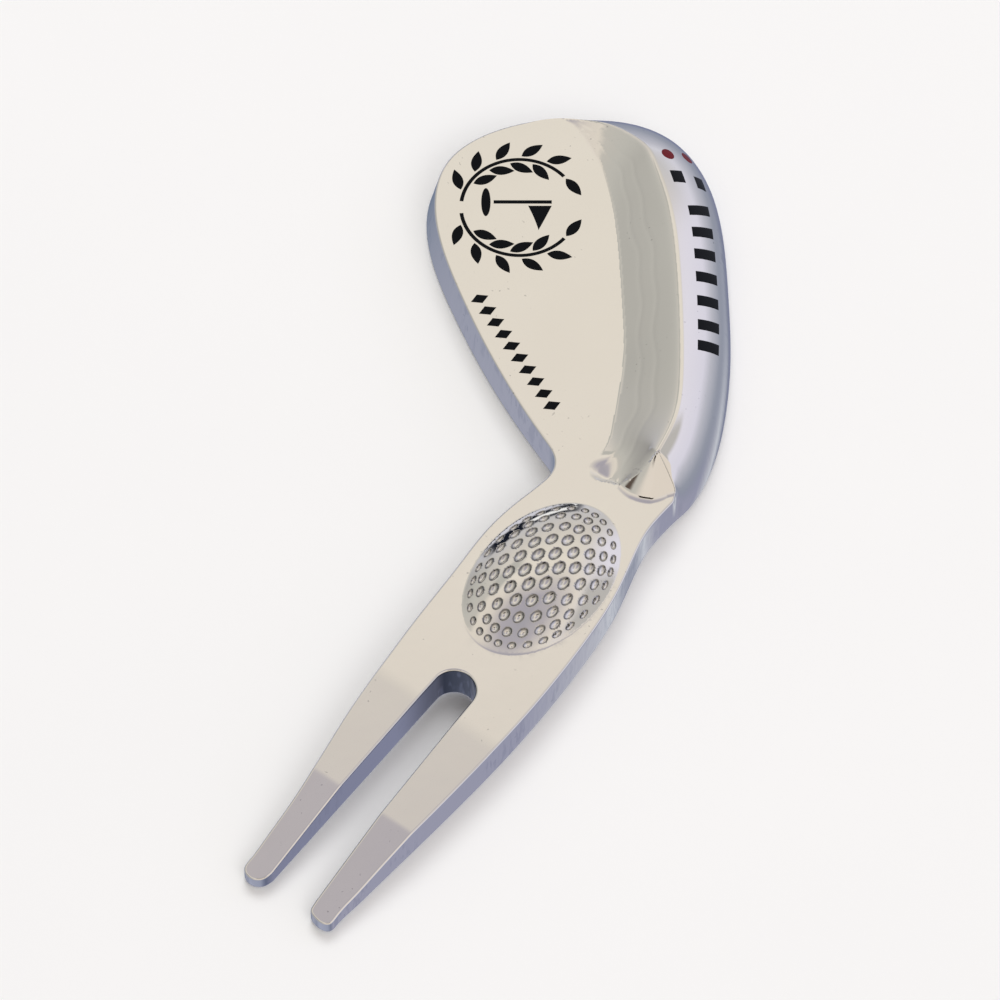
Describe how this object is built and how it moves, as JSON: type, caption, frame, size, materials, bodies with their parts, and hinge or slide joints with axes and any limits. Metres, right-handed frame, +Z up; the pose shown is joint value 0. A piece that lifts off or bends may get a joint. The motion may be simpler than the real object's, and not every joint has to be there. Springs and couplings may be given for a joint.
{
  "type": "divot repair tool",
  "caption": "Golf divot repair tool shaped like a wedge: a plated metal fork with tapered tines, a dimpled thumb pad on the neck and a club head with enamel marks.",
  "frame": {"origin": "under the middle of the tool's bounding box, on the plane of the flat face it lies on", "axes": "+Y along the fork from the tine tips to the head, +X across the fork with the head leaning to -X, +Z up out of the flat face"},
  "size_m": [0.0476, 0.0966, 0.0078],
  "materials": {
    "plated_metal": "bright warm nickel plating on a polished zinc casting, mirror-like with faint casting waves",
    "black_enamel": "glossy black fill, flush with the metal",
    "red_enamel": "glossy dark red fill, flush with the metal"
  },
  "bodies": {
    "root": {"cast_body": "plated_metal", "flag_hole": "black_enamel", "flag_pennant": "black_enamel", "flag_pole": "black_enamel", "sole_bar_1": "black_enamel", "sole_bar_2": "black_enamel", "sole_bar_3": "black_enamel", "sole_bar_4": "black_enamel", "sole_bar_5": "black_enamel", "sole_bar_6": "black_enamel", "sole_bar_7": "black_enamel", "sole_block_1": "black_enamel", "sole_block_2": "black_enamel", "sole_dot_1": "red_enamel", "sole_dot_2": "red_enamel", "topline_lozenge_1": "black_enamel", "topline_lozenge_10": "black_enamel", "topline_lozenge_2": "black_enamel", "topline_lozenge_3": "black_enamel", "topline_lozenge_4": "black_enamel", "topline_lozenge_5": "black_enamel", "topline_lozenge_6": "black_enamel", "topline_lozenge_7": "black_enamel", "topline_lozenge_8": "black_enamel", "topline_lozenge_9": "black_enamel", "wreath_end_leaf_left": "black_enamel", "wreath_end_leaf_right": "black_enamel", "wreath_inner_leaf_left_1": "black_enamel", "wreath_inner_leaf_left_2": "black_enamel", "wreath_inner_leaf_left_3": "black_enamel", "wreath_inner_leaf_left_4": "black_enamel", "wreath_inner_leaf_right_1": "black_enamel", "wreath_inner_leaf_right_2": "black_enamel", "wreath_inner_leaf_right_3": "black_enamel", "wreath_inner_leaf_right_4": "black_enamel", "wreath_outer_leaf_left_1": "black_enamel", "wreath_outer_leaf_left_2": "black_enamel", "wreath_outer_leaf_left_3": "black_enamel", "wreath_outer_leaf_left_4": "black_enamel", "wreath_outer_leaf_left_5": "black_enamel", "wreath_outer_leaf_right_1": "black_enamel", "wreath_outer_leaf_right_2": "black_enamel", "wreath_outer_leaf_right_3": "black_enamel", "wreath_outer_leaf_right_4": "black_enamel", "wreath_outer_leaf_right_5": "black_enamel", "wreath_stem_left": "black_enamel", "wreath_stem_right": "black_enamel"}
  },
  "joints": []
}
